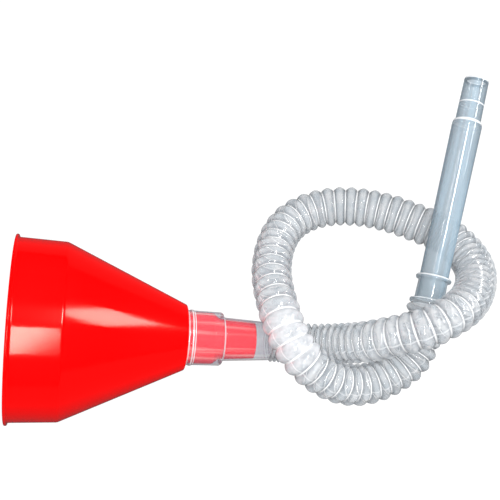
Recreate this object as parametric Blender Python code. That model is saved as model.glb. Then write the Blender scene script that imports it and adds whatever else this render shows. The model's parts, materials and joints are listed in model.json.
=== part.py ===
"""Funnel with a flexible filling hose, lying on a table with its hose in one loose loop.

Run with: blender --background --python part.py
Metres, +Z up. The table is z = 0. The funnel lies on the lower corner of its wall, mouth towards -X and spout
towards +X, and the origin is under the middle of the funnel. Every turned piece is drawn along its own axis, as
(station, radius) pairs, and then laid on that axis by its location and rotation.
"""

from math import atan2, cos, pi, radians, sin

import bmesh
import bpy
import numpy as np
from mathutils import Matrix, Vector

# ---- Driving dimensions -------------------------------------------------------------------------------------
GAP = 0.0003  # between pieces that touch

# Funnel: stations run along its axis from the plane of the mouth.
TILT = radians(15.5)  # how far the axis slopes down towards the spout
WALL = 0.0016
LIP_RADIUS, LIP_THICKNESS = 0.0675, 0.0022
WALL_RADIUS = 0.0654  # just behind the lip
CORNER_AT, CORNER_RADIUS = 0.0365, 0.0640
SHOULDER_AT, CONE_END_RADIUS = 0.1235, 0.0240
SPOUT_RADIUS = 0.0188
STEP_START, STEP_END = 0.1440, 0.1488
STEP_RADIUS = 0.0148
SPOUT_END, SPOUT_END_RADIUS = 0.1748, 0.0132

# Strainer: a ring that drops onto the inner face of the shoulder, and the filter disc held in its groove.
STRAINER_RADIUS, STRAINER_HEIGHT = 0.0220, 0.0032
STRAINER_BORE = 0.0168
GROOVE_RADIUS, GROOVE_WIDTH = 0.0186, 0.0012
MESH_RADIUS, MESH_THICKNESS = 0.0183, 0.0005

# Hose and its two cuffs
CUFF_START, CUFF_STEP, CUFF_END = 0.1243, 0.1510, 0.1858
HOSE_RADIUS = 0.01475
OUTLET_BASE = Vector((0.2205, 0.0215, 0.0280))  # centre of the outlet cuff's flange
OUTLET_HEADING = radians(16.0)  # of the nozzle's axis, from +Y towards +X
OUTLET_RISE = radians(13.0)  # of the nozzle's axis, above the table
OUTLET_CUFF_LENGTH = 0.0212

# Nozzle: stations run along its axis from the flange of the outlet cuff.
NOZZLE_SHOULDER = OUTLET_CUFF_LENGTH + GAP
NOZZLE_STEP, NOZZLE_END = 0.1405, 0.1763

ROUND = 48  # sides of a turned piece

# The hose's way between its cuffs, as (x, y, z) of its centreline: down to the table, up and over its own end,
# round to the right, back along the table under the nozzle, over its own start, and under itself to the nozzle.
HOSE_ROUTE = (
    (0.1335, -0.0020, 0.0180),
    (0.1540, -0.0045, 0.0235),
    (0.1725, -0.0070, 0.0330),
    (0.1905, -0.0080, 0.0440),
    (0.2095, -0.0065, 0.0520),
    (0.2290, 0.0010, 0.0530),
    (0.2445, 0.0130, 0.0465),
    (0.2540, 0.0290, 0.0355),
    (0.2575, 0.0470, 0.0255),
    (0.2525, 0.0655, 0.0180),
    (0.2395, 0.0815, 0.0155),
    (0.2210, 0.0925, 0.0152),
    (0.2020, 0.1015, 0.0152),
    (0.1820, 0.1080, 0.0152),
    (0.1615, 0.1110, 0.0152),
    (0.1405, 0.1085, 0.0157),
    (0.1225, 0.0985, 0.0185),
    (0.1120, 0.0815, 0.0245),
    (0.1075, 0.0620, 0.0320),
    (0.1070, 0.0425, 0.0400),
    (0.1100, 0.0230, 0.0470),
    (0.1150, 0.0030, 0.0520),
    (0.1230, -0.0155, 0.0500),
    (0.1365, -0.0290, 0.0405),
    (0.1530, -0.0355, 0.0290),
    (0.1710, -0.0345, 0.0195),
    (0.1900, -0.0270, 0.0158),
    (0.2060, -0.0145, 0.0158),
    (0.2150, 0.0020, 0.0206),
)

# ---- Places worked out from them ----------------------------------------------------------------------------
AXIS = Vector((cos(TILT), 0.0, -sin(TILT)))
SPAN_LOW = -LIP_RADIUS * sin(TILT)
SPAN_HIGH = SPOUT_END * cos(TILT) + SPOUT_END_RADIUS * sin(TILT)
MOUTH = Vector(
    (-(SPAN_LOW + SPAN_HIGH) / 2, 0.0, CORNER_RADIUS * cos(TILT) + CORNER_AT * sin(TILT))
)
OUTLET_AXIS = Vector(
    (
        cos(OUTLET_RISE) * sin(OUTLET_HEADING),
        cos(OUTLET_RISE) * cos(OUTLET_HEADING),
        sin(OUTLET_RISE),
    )
)


# ---- Ways of making a piece ---------------------------------------------------------------------------------
def finish(name, colour, roughness):
    """A Principled material with one colour and one roughness."""
    material = bpy.data.materials.new(name)
    material.use_nodes = True
    shader = material.node_tree.nodes["Principled BSDF"]
    shader.inputs["Base Color"].default_value = colour
    shader.inputs["Roughness"].default_value = roughness
    shader.inputs["Metallic"].default_value = 0.0
    shader.inputs["Alpha"].default_value = colour[3]
    return material


def turned(name, outline, material, sides=ROUND):
    """One closed body turned about its own Z axis from a closed outline of (station, radius) points."""
    shape = bmesh.new()
    points = [shape.verts.new((radius, 0.0, station)) for station, radius in outline]
    for first, second in zip(points, points[1:] + points[:1]):
        shape.edges.new((first, second))
    bmesh.ops.spin(
        shape,
        geom=shape.verts[:] + shape.edges[:],
        cent=(0, 0, 0),
        axis=(0, 0, 1),
        angle=2 * pi,
        steps=sides,
        use_merge=True,
    )
    bmesh.ops.remove_doubles(shape, verts=shape.verts, dist=1e-6)
    bmesh.ops.recalc_face_normals(shape, faces=shape.faces)
    mesh = bpy.data.meshes.new(name)
    shape.to_mesh(mesh)
    shape.free()
    mesh.shade_smooth()
    mesh.set_sharp_from_angle(angle=radians(35))
    piece = bpy.data.objects.new(name, mesh)
    mesh.materials.append(material)
    bpy.context.scene.collection.objects.link(piece)
    return piece


def lay_on_funnel_axis(piece):
    """Puts the piece's station 0 at the mouth and its +Z along the funnel's axis."""
    piece.location = MOUTH
    piece.rotation_euler = (0.0, pi / 2 + TILT, 0.0)


def lay_on_outlet_axis(piece):
    """Puts the piece's station 0 at the outlet cuff's flange and its +Z along the nozzle's axis."""
    piece.location = OUTLET_BASE
    turn = Matrix.Rotation(-OUTLET_HEADING, 3, "Z") @ Matrix.Rotation(OUTLET_RISE - pi / 2, 3, "X")
    piece.rotation_euler = turn.to_euler()


def smooth_line(route, count):
    """count points, evenly spaced, on the natural cubic spline through the route's points."""
    route = np.array(route, dtype=float)
    steps = np.linalg.norm(np.diff(route, axis=0), axis=1)
    at = np.concatenate([[0.0], np.cumsum(steps)])
    size = len(route)
    system, right = np.eye(size), np.zeros((size, 3))
    slopes = np.diff(route, axis=0) / steps[:, None]
    for i in range(1, size - 1):
        system[i, i - 1 : i + 2] = steps[i - 1], 2 * (steps[i - 1] + steps[i]), steps[i]
        right[i] = 6 * (slopes[i] - slopes[i - 1])
    bends = np.linalg.solve(system, right)

    def points_at(where):
        i = np.clip(np.searchsorted(at, where) - 1, 0, size - 2)
        before, after, step = (where - at[i])[:, None], (at[i + 1] - where)[:, None], steps[i][:, None]
        return (
            (bends[i] * after**3 + bends[i + 1] * before**3) / (6 * step)
            + (route[i] / step - bends[i] * step / 6) * after
            + (route[i + 1] / step - bends[i + 1] * step / 6) * before
        )

    fine = points_at(np.linspace(0.0, at[-1], 4000))
    along = np.concatenate([[0.0], np.cumsum(np.linalg.norm(np.diff(fine, axis=0), axis=1))])
    even = np.linspace(0.0, along[-1], count)
    return np.stack([np.interp(even, along, fine[:, k]) for k in range(3)], axis=1)


# ---- The pieces ---------------------------------------------------------------------------------------------
def funnel_body(red):
    """Lip, wall, cone, flat shoulder and stepped spout, one moulding of even wall."""
    cone_slope = atan2(CORNER_RADIUS - CONE_END_RADIUS, SHOULDER_AT - CORNER_AT)
    inward = WALL / cos(cone_slope)
    seat = SHOULDER_AT + GAP + 0.0003 - WALL  # the inner face of the shoulder
    seat_radius = CONE_END_RADIUS - inward + 0.0006
    outer = [
        (0.0, LIP_RADIUS - 0.0007),
        (0.0006, LIP_RADIUS),
        (LIP_THICKNESS - 0.0005, LIP_RADIUS),
        (LIP_THICKNESS, LIP_RADIUS - 0.0006),
        (LIP_THICKNESS + 0.0003, WALL_RADIUS),
        (CORNER_AT, CORNER_RADIUS),
        (SHOULDER_AT, CONE_END_RADIUS),
        (SHOULDER_AT + 0.0006, CONE_END_RADIUS - 0.0006),
        (SHOULDER_AT + 0.0006, SPOUT_RADIUS),
        (STEP_START, SPOUT_RADIUS - 0.0002),
        (STEP_END, STEP_RADIUS),
        (SPOUT_END - 0.0006, SPOUT_END_RADIUS + 0.0001),
        (SPOUT_END, SPOUT_END_RADIUS),
    ]
    inner = [
        (SPOUT_END, SPOUT_END_RADIUS - WALL),
        (STEP_END - 0.0004, STEP_RADIUS - WALL),
        (STEP_START - 0.0003, SPOUT_RADIUS - WALL - 0.0001),
        (seat, SPOUT_RADIUS - WALL),
        (seat, seat_radius),
        (CORNER_AT - 0.0003, CORNER_RADIUS - WALL - 0.0001),
        (0.0, WALL_RADIUS - WALL + 0.0001),
    ]
    piece = turned("funnel_body", outer + inner, red)
    lay_on_funnel_axis(piece)


def strainer(red, filter_white):
    """The drop-in ring and the filter disc in its groove, both on the funnel's axis."""
    low = SHOULDER_AT - STRAINER_HEIGHT - WALL + 0.0002
    high = low + STRAINER_HEIGHT
    groove = (low + high - GROOVE_WIDTH) / 2
    ring = turned(
        "strainer_ring",
        [
            (low, STRAINER_RADIUS - 0.0004),
            (low + 0.0004, STRAINER_RADIUS),
            (high - 0.0004, STRAINER_RADIUS),
            (high, STRAINER_RADIUS - 0.0004),
            (high, STRAINER_BORE),
            (groove + GROOVE_WIDTH, STRAINER_BORE),
            (groove + GROOVE_WIDTH, GROOVE_RADIUS),
            (groove, GROOVE_RADIUS),
            (groove, STRAINER_BORE),
            (low, STRAINER_BORE),
        ],
        red,
    )
    lay_on_funnel_axis(ring)
    middle = groove + GROOVE_WIDTH / 2
    disc = turned(
        "strainer_mesh",
        [
            (middle - MESH_THICKNESS / 2, 0.0),
            (middle - MESH_THICKNESS / 2, MESH_RADIUS),
            (middle + MESH_THICKNESS / 2, MESH_RADIUS),
            (middle + MESH_THICKNESS / 2, 0.0),
        ],
        filter_white,
    )
    lay_on_funnel_axis(disc)


def inlet_cuff(clear):
    """The stepped sleeve that pushes over the spout, with two thin beads round its mouth."""
    outer = [
        (CUFF_START, 0.0199),
        (CUFF_START + 0.0024, 0.0199),
        (CUFF_START + 0.0032, 0.0204),
        (CUFF_START + 0.0046, 0.0204),
        (CUFF_START + 0.0054, 0.0198),
        (CUFF_STEP - 0.0014, 0.0194),
        (CUFF_STEP, 0.0184),
        (CUFF_STEP + 0.0006, 0.0163),
        (CUFF_STEP + 0.0020, 0.0158),
        (CUFF_END, 0.0139),
    ]
    inner = [
        (CUFF_END, 0.0133),
        (CUFF_STEP + 0.0012, 0.0152),
        (CUFF_STEP - 0.0004, 0.0158),
        (CUFF_STEP - 0.0008, 0.0180),
        (CUFF_STEP - 0.0020, 0.0188),
        (CUFF_START, 0.0193),
    ]
    piece = turned("inlet_cuff", outer + inner, clear)
    lay_on_funnel_axis(piece)


def hose(clear):
    """The corrugated hose, as the plain tube of its outer diameter along its centreline."""
    start = MOUTH + AXIS * (CUFF_END + 2 * GAP)
    end = OUTLET_BASE - OUTLET_AXIS * 2 * GAP
    lead = 0.009  # straight length at each end, in line with the cuff
    route = [start, start + AXIS * lead, *HOSE_ROUTE, end - OUTLET_AXIS * lead, end]
    line = smooth_line(route, 79)
    curve = bpy.data.curves.new("hose", "CURVE")
    curve.dimensions = "3D"
    curve.bevel_depth = HOSE_RADIUS
    curve.bevel_resolution = 4
    curve.use_fill_caps = True
    spline = curve.splines.new("POLY")
    spline.points.add(len(line) - 1)
    for point, place in zip(spline.points, line):
        point.co = (*place, 1.0)
    curve.materials.append(clear)
    piece = bpy.data.objects.new("hose", curve)
    bpy.context.scene.collection.objects.link(piece)


def outlet_cuff(clear):
    """The short sleeve at the hose's other end: a flange at the hose and a bead round its mouth."""
    length = OUTLET_CUFF_LENGTH
    outer = [
        (0.0, 0.0134),
        (0.0006, 0.0140),
        (0.0022, 0.0140),
        (0.0030, 0.0132),
        (0.0034, 0.0109),
        (length - 0.0036, 0.0107),
        (length - 0.0030, 0.0126),
        (length - 0.0024, 0.0130),
        (length - 0.0010, 0.0130),
        (length, 0.0120),
    ]
    inner = [(length, 0.0098), (0.0, 0.0096)]
    piece = turned("outlet_cuff", outer + inner, clear)
    lay_on_outlet_axis(piece)


def nozzle(clear):
    """The straight filling tube: a spigot in the cuff, the long tube, and a narrower open tip."""
    outer = [
        (0.0045, 0.0091),
        (0.0055, 0.0093),
        (NOZZLE_SHOULDER, 0.0094),
        (NOZZLE_SHOULDER, 0.0105),
        (NOZZLE_STEP - 0.0010, 0.0112),
        (NOZZLE_STEP + 0.0010, 0.0108),
        (NOZZLE_STEP + 0.0030, 0.0095),
        (NOZZLE_END - 0.0005, 0.0092),
        (NOZZLE_END, 0.0089),
    ]
    inner = [
        (NOZZLE_END, 0.0079),
        (NOZZLE_STEP + 0.0024, 0.0083),
        (NOZZLE_STEP - 0.0014, 0.0100),
        (NOZZLE_SHOULDER + 0.0020, 0.0093),
        (NOZZLE_SHOULDER - 0.0010, 0.0083),
        (0.0045, 0.0081),
    ]
    piece = turned("nozzle", outer + inner, clear)
    lay_on_outlet_axis(piece)


for old in list(bpy.data.objects):
    bpy.data.objects.remove(old)

red_plastic = finish("funnel_red", (0.75, 0.01, 0.02, 1.0), 0.25)
clear_plastic = finish("clear_plastic", (0.80, 0.86, 0.90, 0.45), 0.2)
filter_cloth = finish("filter_cloth", (0.85, 0.85, 0.82, 1.0), 0.6)

funnel_body(red_plastic)
strainer(red_plastic, filter_cloth)
inlet_cuff(clear_plastic)
hose(clear_plastic)
outlet_cuff(clear_plastic)
nozzle(clear_plastic)
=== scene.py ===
import json
from math import cos, pi, radians, sin, tan

import bpy
import numpy as np
from mathutils import Matrix, Vector


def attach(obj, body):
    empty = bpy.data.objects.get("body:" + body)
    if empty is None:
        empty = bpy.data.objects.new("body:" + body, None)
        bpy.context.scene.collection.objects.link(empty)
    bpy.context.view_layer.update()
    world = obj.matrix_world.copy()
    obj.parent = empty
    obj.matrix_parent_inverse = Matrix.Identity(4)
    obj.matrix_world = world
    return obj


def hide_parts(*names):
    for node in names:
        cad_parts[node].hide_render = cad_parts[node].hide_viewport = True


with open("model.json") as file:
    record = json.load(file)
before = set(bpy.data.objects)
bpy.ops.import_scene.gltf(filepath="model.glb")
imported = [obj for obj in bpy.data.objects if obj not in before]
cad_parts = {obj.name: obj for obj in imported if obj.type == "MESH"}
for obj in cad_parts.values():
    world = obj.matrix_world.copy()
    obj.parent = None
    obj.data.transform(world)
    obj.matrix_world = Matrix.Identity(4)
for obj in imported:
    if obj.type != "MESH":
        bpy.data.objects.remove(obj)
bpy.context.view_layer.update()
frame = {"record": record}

mounts = {mount["name"]: mount for mount in frame["record"]["mounts"]}


# ---- Camera ----------------------------------------------------------------------------------------------
# One camera above and in front of the table, looking down at the funnel as it lies there with its hose.
# It is turned a little about its own line of sight, so that the funnel lies almost level in view.
LOOK_AT = Vector((0.0903, 0.0706, 0.0301))
LOOK_FROM_TURN, LOOK_FROM_HEIGHT = radians(-9.91), radians(66.0)
CAMERA_DISTANCE = 0.7622
CAMERA_ROLL = radians(-11.64)
FIELD_OF_VIEW = radians(28.0)
SENSOR = 36.0

toward_camera = Vector(
    (
        -sin(LOOK_FROM_TURN) * cos(LOOK_FROM_HEIGHT),
        -cos(LOOK_FROM_TURN) * cos(LOOK_FROM_HEIGHT),
        sin(LOOK_FROM_HEIGHT),
    )
)
right = (-toward_camera).cross(Vector((0, 0, 1))).normalized()
up = right.cross(-toward_camera)
rolled_right = right * cos(CAMERA_ROLL) + up * sin(CAMERA_ROLL)
rolled_up = up * cos(CAMERA_ROLL) - right * sin(CAMERA_ROLL)

camera_data = bpy.data.cameras.new("camera")
camera_data.sensor_width = SENSOR
camera_data.lens = SENSOR / 2 / tan(FIELD_OF_VIEW / 2)
camera = bpy.data.objects.new("camera", camera_data)
camera.matrix_world = Matrix.Translation(LOOK_AT + toward_camera * CAMERA_DISTANCE) @ (
    Matrix((rolled_right, rolled_up, toward_camera)).transposed().to_4x4()
)
bpy.context.scene.collection.objects.link(camera)
bpy.context.scene.camera = camera


# ---- Corrugated hose -------------------------------------------------------------------------------------
# A thin blow-moulded tube of clear plastic, folded into rings so that it bends and stretches. It leaves the
# inlet cuff, rises over its own end, turns back along the table under the nozzle, crosses over its own start
# and runs under itself to the outlet cuff. Its rings are drawn apart where it was pulled.
FUNNEL_AXIS = -np.array(mounts["mouth_rim"]["axis"])
MOUTH = np.array(mounts["mouth_rim"]["pos_m"]) * [1, 0, 1]
OUTLET_AXIS = np.array(mounts["nozzle_end"]["axis"])
OUTLET_BASE = np.array([0.2205, 0.0215, 0.0280])
CUFF_END = 0.1858  # where the inlet cuff stops, from the mouth along the funnel's axis
HOSE_GAP = 0.0006
HOSE_LEAD = 0.009
HOSE_DIAMETER = 0.0295
HOSE_ROUTE = (
    (0.1335, -0.0020, 0.0180),
    (0.1540, -0.0045, 0.0235),
    (0.1725, -0.0070, 0.0330),
    (0.1905, -0.0080, 0.0440),
    (0.2095, -0.0065, 0.0520),
    (0.2290, 0.0010, 0.0530),
    (0.2445, 0.0130, 0.0465),
    (0.2540, 0.0290, 0.0355),
    (0.2575, 0.0470, 0.0255),
    (0.2525, 0.0655, 0.0180),
    (0.2395, 0.0815, 0.0155),
    (0.2210, 0.0925, 0.0152),
    (0.2020, 0.1015, 0.0152),
    (0.1820, 0.1080, 0.0152),
    (0.1615, 0.1110, 0.0152),
    (0.1405, 0.1085, 0.0157),
    (0.1225, 0.0985, 0.0185),
    (0.1120, 0.0815, 0.0245),
    (0.1075, 0.0620, 0.0320),
    (0.1070, 0.0425, 0.0400),
    (0.1100, 0.0230, 0.0470),
    (0.1150, 0.0030, 0.0520),
    (0.1230, -0.0155, 0.0500),
    (0.1365, -0.0290, 0.0405),
    (0.1530, -0.0355, 0.0290),
    (0.1710, -0.0345, 0.0195),
    (0.1900, -0.0270, 0.0158),
    (0.2060, -0.0145, 0.0158),
    (0.2150, 0.0020, 0.0206),
)


def smooth_line(route, fineness=6000):
    """(distance along, points) on the natural cubic spline through the route's points: its second derivatives
    solve one linear system, and each stretch blends its two ends' points and bends."""
    route = np.asarray(route, dtype=float)
    steps = np.linalg.norm(np.diff(route, axis=0), axis=1)
    at = np.concatenate([[0.0], np.cumsum(steps)])
    size = len(route)
    inner = np.arange(1, size - 1)
    system, rhs = np.eye(size), np.zeros((size, 3))
    system[inner, inner - 1] = steps[:-1]
    system[inner, inner] = 2 * (steps[:-1] + steps[1:])
    system[inner, inner + 1] = steps[1:]
    slopes = np.diff(route, axis=0) / steps[:, None]
    rhs[1:-1] = 6 * np.diff(slopes, axis=0)
    bends = np.linalg.solve(system, rhs)
    where = np.linspace(0.0, at[-1], fineness)
    i = np.clip(np.searchsorted(at, where) - 1, 0, size - 2)
    before, after, step = (where - at[i])[:, None], (at[i + 1] - where)[:, None], steps[i][:, None]
    points = (
        (bends[i] * after**3 + bends[i + 1] * before**3) / (6 * step)
        + (route[i] / step - bends[i] * step / 6) * after
        + (route[i + 1] / step - bends[i + 1] * step / 6) * before
    )
    along = np.concatenate([[0.0], np.cumsum(np.linalg.norm(np.diff(points, axis=0), axis=1))])
    return along, points


def frames_along(points):
    """Two unit vectors across the line at each point. They come from the vertical and are carried without
    twisting, because the line never stands upright."""
    ahead = np.gradient(points, axis=0)
    ahead /= np.linalg.norm(ahead, axis=1, keepdims=True)
    side = np.cross(ahead, [0.0, 0.0, 1.0])
    side /= np.linalg.norm(side, axis=1, keepdims=True)
    return side, np.cross(side, ahead)


def grid_object(name, points, uv):
    """A mesh of quads on a grid of points (rows, columns, 3), whose rows and columns both close on themselves.
    uv has one more row and one more column than there are points."""
    rows, columns = points.shape[:2]
    row = np.arange(rows)[:, None]
    column = np.arange(columns)[None, :]
    next_row, next_column = (row + 1) % rows, (column + 1) % columns
    corners = np.stack(
        [
            row * columns + column,
            row * columns + next_column,
            next_row * columns + next_column,
            next_row * columns + column,
        ],
        axis=-1,
    ).reshape(-1, 4)
    mesh = bpy.data.meshes.new(name)
    mesh.vertices.add(rows * columns)
    mesh.vertices.foreach_set("co", points.reshape(-1).astype(np.float32))
    mesh.loops.add(corners.size)
    mesh.loops.foreach_set("vertex_index", corners.reshape(-1).astype(np.int32))
    mesh.polygons.add(len(corners))
    mesh.polygons.foreach_set("loop_start", np.arange(0, corners.size, 4, dtype=np.int32))
    mesh.update(calc_edges=True)
    layer = mesh.uv_layers.new(name="surface")
    at = np.stack([uv[row, column], uv[row, column + 1], uv[row + 1, column + 1], uv[row + 1, column]], axis=2)
    layer.data.foreach_set("uv", at.reshape(-1).astype(np.float32))
    mesh.shade_smooth()
    piece = bpy.data.objects.new(name, mesh)
    bpy.context.scene.collection.objects.link(piece)
    return piece


class Value:
    """A shader socket that arithmetic works on. Each operator adds one Math node."""

    def __init__(self, finish, socket):
        self.finish, self.socket = finish, socket

    def math(self, operation, *others):
        return self.finish.node("ShaderNodeMath", {"operation": operation}, [self, *others])

    def __add__(self, other):
        return self.math("ADD", other)

    def __sub__(self, other):
        return self.math("SUBTRACT", other)

    def __mul__(self, other):
        return self.math("MULTIPLY", other)

    def __rsub__(self, other):
        return self.finish.node("ShaderNodeMath", {"operation": "SUBTRACT"}, [other, self])

    __radd__, __rmul__ = __add__, __mul__


class Finish:
    """One material: its node tree and its Principled shader."""

    def __init__(self, name, **fixed):
        self.material = bpy.data.materials.new(name)
        self.material.use_nodes = True
        self.tree = self.material.node_tree
        self.shader = self.tree.nodes["Principled BSDF"]
        for socket, value in fixed.items():
            self.shader.inputs[socket.replace("_", " ")].default_value = value

    def node(self, kind, settings=None, values=(), output=0):
        """One node: its settings first, then the values or links of its sockets, by name or by order."""
        made = self.tree.nodes.new(kind)
        for key, value in (settings or {}).items():
            setattr(made, key, value)
        pairs = values.items() if isinstance(values, dict) else enumerate(values)
        for key, value in pairs:
            if isinstance(value, Value):
                self.tree.links.new(value.socket, made.inputs[key])
            else:
                made.inputs[key].default_value = value
        return Value(self, made.outputs[output])

    def blend(self, share, first, second):
        """first where share is 0, second where it is 1. Both are colours."""
        return self.node("ShaderNodeMix", {"data_type": "RGBA"}, {0: share, 6: first, 7: second}, 2)

    def ramp(self, value, low, high, at_low, at_high):
        """at_low up to low, at_high from high on, and a smooth step between them."""
        return self.node(
            "ShaderNodeMapRange",
            {"interpolation_type": "SMOOTHSTEP"},
            {"Value": value, "From Min": low, "From Max": high, "To Min": at_low, "To Max": at_high},
        )

    def feed(self, **links):
        for socket, value in links.items():
            self.tree.links.new(value.socket, self.shader.inputs[socket.replace("_", " ")])


# Spacing of the rings along the hose, in metres, as (distance along, spacing): pushed together at the funnel,
# drawn out over the first rise and where the loop comes back over its own start.
RING_SPACING = (
    (0.000, 0.0031),
    (0.011, 0.0032),
    (0.018, 0.0046),
    (0.030, 0.0053),
    (0.066, 0.0055),
    (0.074, 0.0085),
    (0.125, 0.0096),
    (0.142, 0.0085),
    (0.158, 0.0061),
    (0.215, 0.0061),
    (0.240, 0.0076),
    (0.260, 0.0086),
    (0.330, 0.0084),
    (0.400, 0.0088),
    (0.440, 0.0102),
    (0.480, 0.0100),
    (0.520, 0.0083),
    (0.590, 0.0076),
    (0.645, 0.0070),
)
RING_STEPS = 10  # points from one valley to the next
HOSE_SIDES = 58
HOSE_WALL = 0.0006
CLOSED_SPACING, OPEN_SPACING = 0.0045, 0.0090
CLOSED_DEPTH, OPEN_DEPTH = 0.0036, 0.0028  # from a crest down to the valley beside it
CREST_RISE = 0.0003  # how far the crests stand past half of the hose's diameter
# How whitened the plastic looks, as (distance along, share): stress whitening where it was bent and pulled,
# with a painted highlight in the same share. It is most where the loop has just crossed over the hose's start.
MILKINESS_AND_HIGHLIGHT = (
    (0.000, 0.20),
    (0.070, 0.30),
    (0.090, 0.40),
    (0.130, 0.40),
    (0.160, 0.30),
    (0.220, 0.30),
    (0.250, 0.05),
    (0.330, 0.05),
    (0.370, 0.30),
    (0.456, 0.25),
    (0.480, 1.00),
    (0.500, 1.00),
    (0.516, 0.20),
    (0.642, 0.05),
)

hose_start = MOUTH + FUNNEL_AXIS * (CUFF_END + HOSE_GAP)
hose_end = OUTLET_BASE - OUTLET_AXIS * HOSE_GAP
leads = hose_start + FUNNEL_AXIS * HOSE_LEAD, hose_end - OUTLET_AXIS * HOSE_LEAD
along, line = smooth_line([hose_start, leads[0], *HOSE_ROUTE, leads[1], hose_end])
spacing = np.interp(along, *np.array(RING_SPACING).T)
turns = np.concatenate([[0.0], np.cumsum(np.diff(along) / ((spacing[1:] + spacing[:-1]) / 2))])
ring_count = round(turns[-1])
turns *= ring_count / turns[-1]

phase = np.linspace(0.0, ring_count, ring_count * RING_STEPS + 1)
station = np.interp(phase, turns, along)
centre = np.stack([np.interp(station, along, line[:, k]) for k in range(3)], axis=1)
spacing = np.interp(station, along, spacing)
openness = np.clip((spacing - CLOSED_SPACING) / (OPEN_SPACING - CLOSED_SPACING), 0, 1)
milkiness_and_highlight = np.interp(station, *np.array(MILKINESS_AND_HIGHLIGHT).T)


def ring_radius(phase, openness):
    """Radius along the hose: each ring is a hump between two narrow valleys, the absolute sine of half a turn
    per ring raised to a power. A drawn-out ring is a round barrel, and a closed one has a sharp crest."""
    hump = np.abs(np.sin(pi * phase))
    barrel = hump ** (0.75 + 0.75 * (1 - openness))
    depth = CLOSED_DEPTH + (OPEN_DEPTH - CLOSED_DEPTH) * openness
    return HOSE_DIAMETER / 2 + CREST_RISE - depth * (1 - barrel)


def around(centre, radius, sides):
    """Circles of the given radii about the line's points, square to the line: radius times the cosine and
    sine of the angle along the two vectors across it. The angle falls, so that the faces look outward."""
    side, over = frames_along(centre)
    angle = np.linspace(0, -2 * pi, sides, endpoint=False)[None, :, None]
    across = np.cos(angle) * side[:, None, :] + np.sin(angle) * over[:, None, :]
    return centre[:, None, :] + radius[:, None, None] * across


radius = ring_radius(phase, openness)
outer, inner = (around(centre, radius - wall, HOSE_SIDES) for wall in (0.0, HOSE_WALL))
ring_turn = np.concatenate([phase, 2 * ring_count - phase[::-1], [2 * ring_count]])
round_hose = np.linspace(0, 1, HOSE_SIDES + 1)
hose_uv = np.stack(np.broadcast_arrays(round_hose[None, :], ring_turn[:, None]), axis=-1)
hose = grid_object("corrugated_hose", np.concatenate([outer, inner[::-1]]), hose_uv)
milky_highlight_points = hose.data.attributes.new("milkiness_and_highlight", "FLOAT", "POINT")
milky_highlight_points.data.foreach_set("value", np.repeat(np.concatenate([milkiness_and_highlight, milkiness_and_highlight[::-1]]), HOSE_SIDES))

# The valleys between the rings are the thickest plastic and show as white lines. So do the two parting lines
# of the mould, which run the whole length on opposite sides. The grey flanks beside the valleys are painted
# shade.
PARTING_AT = 0.76  # in half turns round the hose
clear = Finish("hose_plastic", Roughness=0.10, IOR=1.6, Specular_IOR_Level=1.0)
ring_at = clear.node("ShaderNodeUVMap", {"uv_map": "surface"})
turn = clear.node("ShaderNodeSeparateXYZ", {}, [ring_at], 1)
inside = turn.math("GREATER_THAN", ring_count + 0.01)
hump = (turn * pi).math("SINE").math("ABSOLUTE")
half_turn = (clear.node("ShaderNodeSeparateXYZ", {}, [ring_at], 0) * 2.0).math("FRACT")
parting = clear.ramp((half_turn - PARTING_AT).math("ABSOLUTE"), 0.006, 0.018, 0.45, 0.0)
valley = clear.ramp(hump, 0.07, 0.25, 1.0, 0.0).math("MAXIMUM", parting)
# Painted shade: each ring is darker grey down its flanks towards the valleys, and a little denser there.
shaded_flank = clear.ramp(hump, 0.35, 0.95, 1.0, 0.0)
place = clear.node("ShaderNodeTexCoord", {}, [], 3)
cloud = clear.node("ShaderNodeTexNoise", {}, {"Vector": place, "Scale": 150.0, "Detail": 3.0})
# Whitening of the plastic where it was bent and pulled, and a painted highlight in the same share: whitest
# where the loop crosses over its start.
milky_and_highlight = clear.node("ShaderNodeAttribute", {"attribute_name": "milkiness_and_highlight"}, [], 2)
milky_and_highlight = milky_and_highlight * (cloud * 1.2 + 0.25).math("MINIMUM", 1.0)
crest = clear.blend(clear.ramp(cloud, 0.30, 0.68, 0.0, 1.0), (0.54, 0.62, 0.68, 1), (1.0, 1.0, 1.0, 1))
lobe = clear.blend(shaded_flank * 0.9, crest, (0.08, 0.11, 0.14, 1))
lobe = clear.blend(milky_and_highlight * 0.9, lobe, (0.96, 0.97, 1.0, 1))
edge = clear.node("ShaderNodeLayerWeight", {"label": "denser edge on"}, {"Blend": 0.5}, 1)
density = shaded_flank * 0.18 + milky_and_highlight * 0.35 + edge * edge * 0.30 + 0.18
clear.feed(
    Base_Color=clear.blend(valley, lobe, (1.0, 1.0, 1.0, 1)),
    Alpha=(density + valley * 0.55).math("MINIMUM", 0.95) * (1 - inside * 0.9),
)
hose.data.materials.append(clear.material)
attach(hose, "hose")
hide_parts("hose")


# ---- Turned pieces: funnel -------------------------------------------------------------------------------
# The funnel is one injection moulding in glossy red polypropylene: a small outward lip, a short wall with a
# little draft, a long cone, a flat shoulder and a stepped spout. Its edges are slightly rounded by the mould.
TURNED_SIDES = 160


def eased(outline, ease, steps=5):
    """The closed outline with each corner replaced by a parabolic arc that starts and ends at ease from it,
    or at 0.4 of a shorter side."""
    outline = np.asarray(outline, dtype=float)
    before, after = np.roll(outline, 1, axis=0) - outline, np.roll(outline, -1, axis=0) - outline
    ends = []
    for way in (before, after):
        long = np.linalg.norm(way, axis=1, keepdims=True)
        ends.append(outline + way / long * np.minimum(ease, 0.4 * long))
    t = np.linspace(0, 1, steps)[None, :, None]
    arc = (1 - t) ** 2 * ends[0][:, None] + 2 * t * (1 - t) * outline[:, None] + t**2 * ends[1][:, None]
    return arc.reshape(-1, 2)


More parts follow.
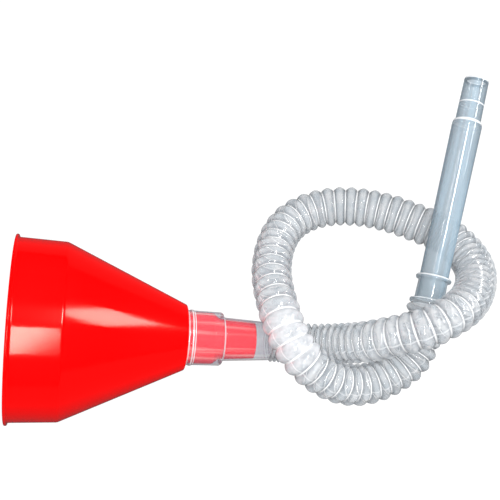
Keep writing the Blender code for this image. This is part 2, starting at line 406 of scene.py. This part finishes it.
def turned(name, outline, origin, axis, ease=0.0004, sides=TURNED_SIDES):
    """A body turned about an axis from a closed outline of (station, radius): every outline point runs round
    a circle. The outline goes out along the outer side and back along the inner one."""
    outline = eased(outline, ease)
    axis = np.asarray(axis, dtype=float)
    side = np.cross(axis, [0.0, 1.0, 0.0] if abs(axis[1]) < 0.5 else [0.0, 0.0, 1.0])
    side /= np.linalg.norm(side)
    over = np.cross(axis, side)
    angle = np.linspace(0, 2 * pi, sides, endpoint=False)[None, :, None]
    across = np.cos(angle) * side + np.sin(angle) * over
    points = origin + outline[:, 0, None, None] * axis + outline[:, 1, None, None] * across
    length = np.concatenate([[0.0], np.cumsum(np.linalg.norm(np.diff(outline, axis=0), axis=1))])
    length = np.append(length, length[-1] + np.linalg.norm(outline[0] - outline[-1]))
    uv = np.stack(np.broadcast_arrays(np.linspace(0, 1, sides + 1)[None, :], length[:, None]), axis=-1)
    return grid_object(name, points, uv)


funnel_outline = [
    (0.0, 0.0668),
    (0.0004, 0.0675),
    (0.0018, 0.0675),
    (0.0022, 0.0669),
    (0.0025, 0.0654),
    (0.0365, 0.0640),
    (0.1235, 0.0240),
    (0.1241, 0.0234),
    (0.1241, 0.0188),
    (0.1440, 0.0186),
    (0.1488, 0.0148),
    (0.1742, 0.0133),
    (0.1748, 0.0131),
    (0.1748, 0.0117),
    (0.1484, 0.0132),
    (0.1437, 0.0169),
    (0.1225, 0.0172),
    (0.1225, 0.02284),
    (0.0362, 0.0623),
    (0.0, 0.0639),
]
funnel = turned("funnel_shell", funnel_outline, MOUTH, FUNNEL_AXIS, ease=0.0012)
red = Finish("red_polypropylene", IOR=1.49, Specular_IOR_Level=0.34, Specular_Tint=(1.0, 0.95, 0.80, 1))
place = red.node("ShaderNodeTexCoord", {}, [], 3)
flow = red.node("ShaderNodeTexNoise", {}, {"Vector": place, "Scale": 14.0, "Detail": 2.0})
skin = red.node("ShaderNodeTexNoise", {}, {"Vector": place, "Scale": 900.0, "Detail": 2.0})
red.feed(
    Base_Color=red.blend(flow, (0.96, 0.0006, 0.0010, 1), (1.0, 0.0014, 0.0020, 1)),
    Roughness=flow * 0.05 + 0.07,
    Normal=red.node("ShaderNodeBump", {}, {"Strength": 0.05, "Distance": 0.0002, "Height": skin}),
)
funnel.data.materials.append(red.material)
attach(funnel, "funnel")
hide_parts("funnel_body")


# ---- Strainer --------------------------------------------------------------------------------------------
# A red ring drops onto the inner face of the shoulder and keeps grit out of the tank. A disc of fine white
# nylon cloth is held in a groove round the ring's bore.
STRAINER_LOW, GROOVE_LOW, GROOVE_HIGH, STRAINER_HIGH = 0.1189, 0.1199, 0.1211, 0.1221
STRAINER_BORE, GROOVE_RADIUS = 0.0168, 0.0186
ring_outline = [
    (STRAINER_LOW, 0.0216),
    (STRAINER_LOW + 0.0004, 0.0220),
    (STRAINER_HIGH - 0.0004, 0.0220),
    (STRAINER_HIGH, 0.0216),
    (STRAINER_HIGH, STRAINER_BORE),
    (GROOVE_HIGH, STRAINER_BORE),
    (GROOVE_HIGH, GROOVE_RADIUS),
    (GROOVE_LOW, GROOVE_RADIUS),
    (GROOVE_LOW, STRAINER_BORE),
    (STRAINER_LOW, STRAINER_BORE),
]
strainer = turned("strainer_rim", ring_outline, MOUTH, FUNNEL_AXIS, ease=0.0003, sides=96)
strainer.data.materials.append(red.material)
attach(strainer, "strainer")
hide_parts("strainer_ring")


# The filter cloth: round nylon threads woven over and under each other, fewer than fifty each way.
CLOTH_RADIUS, THREAD_PITCH, THREAD = 0.0182, 0.00078, 0.00012  # the last is half a thread's thickness
CLOTH_AT = (GROOVE_LOW + GROOVE_HIGH) / 2
THREAD_SIDES, THREAD_STEPS = 6, 4  # points round a thread, and from one crossing to the next


def thread(offset, side_on):
    """One thread, as circles of points about a wave: its height is the sine of half a turn per crossing, with
    the sign that puts it over where the thread across it goes under. Local x and y span the disc."""
    row = round(offset / THREAD_PITCH - 0.5)
    reach = (CLOTH_RADIUS**2 - offset**2) ** 0.5
    steps = max(4, int(2 * reach / THREAD_PITCH * THREAD_STEPS))
    run = np.linspace(-reach, reach, steps)
    height = (-1) ** (row + side_on) * THREAD * np.sin(pi * run / THREAD_PITCH)
    angle = np.linspace(0, 2 * pi, THREAD_SIDES, endpoint=False)
    run, height, angle = run[:, None], height[:, None], angle[None, :]
    points = [run + 0 * angle, offset + THREAD * np.cos(angle) + 0 * run, height + THREAD * np.sin(angle)]
    if side_on:
        points[0], points[1] = points[1], points[0]
    return np.stack(points, axis=-1)


rows = (np.arange(-23, 23) + 0.5) * THREAD_PITCH
across_x, across_y = np.array([0.0, 1.0, 0.0]), np.cross(FUNNEL_AXIS, [0.0, 1.0, 0.0])
corners, faces, count = [], [], 0
for side_on in (0, 1):
    for offset in rows:
        points = thread(offset, side_on)
        steps = len(points)
        at = count + np.arange(steps * THREAD_SIDES).reshape(steps, THREAD_SIDES)
        after = np.roll(at, -1, axis=1)
        quads = np.stack([at[:-1], after[:-1], after[1:], at[1:]], axis=-1).reshape(-1, 4)
        ends = [at[0, ::-1].tolist(), at[-1].tolist()]
        faces += [quad[::-1] if side_on else quad for quad in quads.tolist() + ends]
        corners.append(points.reshape(-1, 3))
        count += points.size // 3
local = np.concatenate(corners)
cloth_points = (
    MOUTH
    + (CLOTH_AT + local[:, 2:]) * FUNNEL_AXIS
    + local[:, :1] * across_x
    + local[:, 1:2] * across_y
)
cloth_mesh = bpy.data.meshes.new("filter_cloth")
cloth_mesh.from_pydata(cloth_points.tolist(), [], faces)
cloth_mesh.shade_smooth()
cloth = bpy.data.objects.new("filter_cloth", cloth_mesh)
bpy.context.scene.collection.objects.link(cloth)
nylon = Finish("white_nylon", Roughness=0.45)
place = nylon.node("ShaderNodeTexCoord", {}, [], 3)
dust = nylon.node("ShaderNodeTexNoise", {}, {"Vector": place, "Scale": 400.0, "Detail": 3.0})
nylon.feed(Base_Color=nylon.blend(dust, (0.70, 0.69, 0.65, 1), (0.90, 0.90, 0.87, 1)))
cloth.data.materials.append(nylon.material)
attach(cloth, "strainer")
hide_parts("strainer_mesh")


# ---- Cuffs and nozzle ------------------------------------------------------------------------------------
# The hose ends in two smooth clear cuffs. The inlet cuff is stepped like the spout that it pushes onto, and
# the outlet cuff has a flange and a bead. The nozzle is a separate clear tube with a thinner tip.
def clear_finish(
    name, colour, density, bore_at, origin, axis, rings, bore_haze=0.04, flow=1.6, paler=1.5, mouth=9.0
):
    """Clear plastic: a thin film of the colour over what is behind it, denser where it is seen edge on. The
    bore, where the distance round the outline passes bore_at, adds only a pale haze, since both faces are
    one wall. Past the station called mouth the bore is darker, a painted dark reflection in the opening.
    Rings are the (station, half width) of thick edges painted white: denser plastic with a painted
    highlight on it. Pale streaks, where the colour is paler times as light, run along the piece: partly
    flow lines in the plastic, partly painted reflections. They are noise read on a circle, the cosine and
    sine of the turn times flow, and slowly along the outline."""
    finish = Finish(name, Roughness=0.08, IOR=1.6, Specular_IOR_Level=1.0)
    place = finish.node("ShaderNodeTexCoord", {}, [], 3)
    around_wall = finish.node("ShaderNodeUVMap", {"uv_map": "surface"})
    turn = finish.node("ShaderNodeSeparateXYZ", {}, [around_wall], 0) * (2 * pi)
    length = finish.node("ShaderNodeSeparateXYZ", {}, [around_wall], 1)
    on_circle = [turn.math("COSINE") * flow, turn.math("SINE") * flow, length * 9.0]
    on_circle = finish.node("ShaderNodeCombineXYZ", {}, on_circle)
    # Pale streaks along the piece: partly flow lines in the plastic, partly painted reflections.
    lines = finish.node("ShaderNodeTexNoise", {}, {"Vector": on_circle, "Scale": 1.0, "Detail": 2.0})
    pale = finish.ramp(lines, 0.42, 0.62, 0.0, 1.0)
    bore = length.math("GREATER_THAN", bore_at)
    edge = finish.node("ShaderNodeLayerWeight", {"label": "denser edge on"}, {"Blend": 0.5}, 1)
    along_axis = finish.node(
        "ShaderNodeVectorMath", {"operation": "DOT_PRODUCT"}, [place, tuple(axis)], 1
    ) - float(np.dot(origin, axis))
    white = bore * 0.0
    # Painted highlight: white bands at the rings' stations, on plastic that is denser there.
    for station, half_width in rings:
        near = (along_axis - station).math("ABSOLUTE")
        white = white.math("MAXIMUM", finish.ramp(near, 0.5 * half_width, half_width, 1.0, 0.0))
    white = white * (1 - bore)
    # Painted dark reflection: the bore is darker and denser past the station called mouth.
    painted_dark_mouth = along_axis.math("GREATER_THAN", mouth)
    haze = finish.blend(painted_dark_mouth, (0.80, 0.87, 0.91, 1), (0.04, 0.06, 0.08, 1))
    lighter = (*(min(paler * part, 1.0) for part in colour), 1)
    outside = finish.blend(white, finish.blend(pale, (*colour, 1), lighter), (0.90, 0.92, 0.94, 1))
    film = (edge * edge * 0.45 + white * 0.5 + pale * 0.08 + density).math("MINIMUM", 0.95)
    finish.feed(
        Base_Color=finish.blend(bore, outside, haze),
        Alpha=film * (1 - bore) + bore * (painted_dark_mouth * 0.35 + bore_haze),
    )
    return finish.material


def outer_length(outline):
    """Length of the outline's outer side, from its first point to the farthest station."""
    outline = np.asarray(outline)
    outer = outline[: outline[:, 0].argmax() + 1]
    return float(np.linalg.norm(np.diff(outer, axis=0), axis=1).sum()) + 0.0015


CUFF_STEP = 0.1510
inlet_outline = [
    (0.1243, 0.0197),
    (0.1249, 0.0200),
    (0.1265, 0.0199),
    (0.1273, 0.0204),
    (0.1287, 0.0204),
    (0.1297, 0.0198),
    (CUFF_STEP - 0.0012, 0.0194),
    (CUFF_STEP, 0.0184),
    (CUFF_STEP + 0.0006, 0.0163),
    (CUFF_STEP + 0.0020, 0.0158),
    (CUFF_END, 0.0139),
    (CUFF_END, 0.0133),
    (CUFF_STEP + 0.0012, 0.0152),
    (CUFF_STEP - 0.0004, 0.0158),
    (CUFF_STEP - 0.0008, 0.0180),
    (CUFF_STEP - 0.0020, 0.0188),
    (0.1243, 0.0193),
]
inlet = turned("inlet_sleeve", inlet_outline, MOUTH, FUNNEL_AXIS, ease=0.0005)
inlet.data.materials.append(
    clear_finish(
        "inlet_plastic",
        (0.50, 0.38, 0.52),
        0.13,
        outer_length(inlet_outline),
        MOUTH,
        FUNNEL_AXIS,
        rings=((0.1250, 0.0006), (0.1280, 0.0007), (0.1296, 0.0005), (CUFF_STEP + 0.0002, 0.0009)),
        flow=5.0,
        paler=2.8,
    )
)
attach(inlet, "hose")
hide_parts("inlet_cuff")

CUFF_LENGTH = 0.0212
outlet_outline = [
    (0.0, 0.0134),
    (0.0006, 0.0140),
    (0.0022, 0.0140),
    (0.0030, 0.0132),
    (0.0034, 0.0109),
    (CUFF_LENGTH - 0.0036, 0.0107),
    (CUFF_LENGTH - 0.0030, 0.0126),
    (CUFF_LENGTH - 0.0024, 0.0130),
    (CUFF_LENGTH - 0.0010, 0.0130),
    (CUFF_LENGTH, 0.0120),
    (CUFF_LENGTH, 0.0098),
    (0.0, 0.0096),
]
outlet = turned("outlet_sleeve", outlet_outline, OUTLET_BASE, OUTLET_AXIS, ease=0.0004)
outlet.data.materials.append(
    clear_finish(
        "outlet_plastic",
        (0.34, 0.44, 0.51),
        0.20,
        outer_length(outlet_outline),
        OUTLET_BASE,
        OUTLET_AXIS,
        rings=((0.0028, 0.0007), (CUFF_LENGTH - 0.0008, 0.0008)),
        bore_haze=0.15,
    )
)
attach(outlet, "hose")
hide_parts("outlet_cuff")

NOZZLE_SHOULDER, NOZZLE_STEP, NOZZLE_END = CUFF_LENGTH + 0.0003, 0.1405, 0.1763
nozzle_outline = [
    (0.0045, 0.0091),
    (0.0055, 0.0093),
    (NOZZLE_SHOULDER, 0.0094),
    (NOZZLE_SHOULDER, 0.0105),
    (NOZZLE_STEP - 0.0010, 0.0112),
    (NOZZLE_STEP + 0.0010, 0.0108),
    (NOZZLE_STEP + 0.0030, 0.0095),
    (NOZZLE_END - 0.0005, 0.0092),
    (NOZZLE_END, 0.0089),
    (NOZZLE_END, 0.0079),
    (NOZZLE_STEP + 0.0024, 0.0083),
    (NOZZLE_STEP - 0.0014, 0.0100),
    (NOZZLE_SHOULDER + 0.0020, 0.0093),
    (NOZZLE_SHOULDER - 0.0010, 0.0083),
    (0.0045, 0.0081),
]
nozzle = turned("nozzle_tube", nozzle_outline, OUTLET_BASE, OUTLET_AXIS, ease=0.0003)
nozzle.data.materials.append(
    clear_finish(
        "nozzle_plastic",
        (0.17, 0.25, 0.31),
        0.30,
        outer_length(nozzle_outline),
        OUTLET_BASE,
        OUTLET_AXIS,
        rings=((NOZZLE_STEP + 0.0012, 0.0016), (NOZZLE_STEP + 0.0160, 0.0007), (NOZZLE_END, 0.0018)),
        bore_haze=0.28,
        paler=2.0,
        mouth=NOZZLE_END - 0.0030,
    )
)
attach(nozzle, "nozzle")
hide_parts("nozzle")


# ---- Floor and lights ------------------------------------------------------------------------------------
# A plain white table top that runs out of sight, in even light. It shines by itself and takes no shade, so it
# is set grey where a ray has passed through clear plastic to reach it: painted shade and a painted grey
# reflection.
floor_mesh = bpy.data.meshes.new("floor")
floor_mesh.from_pydata([(-3, -3, 0), (3, -3, 0), (3, 3, 0), (-3, 3, 0)], [], [(0, 1, 2, 3)])
floor = bpy.data.objects.new("floor", floor_mesh)
bpy.context.scene.collection.objects.link(floor)
table = Finish("white_table", Roughness=0.9, Specular_IOR_Level=0.0, Base_Color=(0.05, 0.05, 0.05, 1))
seen = table.node("ShaderNodeLightPath", {}, [], "Is Camera Ray")
# Painted shade and reflection: the table turns grey wherever it is seen past clear plastic.
through = table.node("ShaderNodeLightPath", {}, [], "Transparent Depth").math("GREATER_THAN", 0.5)
bright = table.blend(through, (1.0, 1.0, 1.0, 1), (0.47, 0.50, 0.53, 1))
table.feed(Emission_Color=table.blend(seen, (0.03, 0.03, 0.03, 1), bright))
table.shader.inputs["Emission Strength"].default_value = 1.0
floor.data.materials.append(table.material)


def soft_box(name, place, width, length, power, turn=0.0):
    """A rectangular lamp that hangs level over the table and shines straight down."""
    lamp = bpy.data.lights.new(name, "AREA")
    lamp.shape, lamp.size, lamp.size_y, lamp.energy = "RECTANGLE", width, length, power
    holder = bpy.data.objects.new(name, lamp)
    holder.location, holder.rotation_euler.z = place, turn
    bpy.context.scene.collection.objects.link(holder)


soft_box("front_box", (0.35, -0.85, 1.2), 0.15, 1.0, 11.0)
soft_box("near_box", (0.55, 0.0, 1.2), 0.12, 0.40, 6.0)
soft_box("side_box", (2.42, 0.43, 1.2), 1.0, 0.7, 34.0, turn=radians(51))
world = bpy.data.worlds.new("studio")
world.use_nodes = True
world.node_tree.nodes["Background"].inputs["Color"].default_value = (0.97, 0.985, 1.0, 1)
world.node_tree.nodes["Background"].inputs["Strength"].default_value = 0.90
world.cycles_visibility.glossy = False
bpy.context.scene.world = world
bpy.context.scene.cycles.transparent_max_bounces = 32
bpy.context.scene.view_settings.view_transform = "Standard"
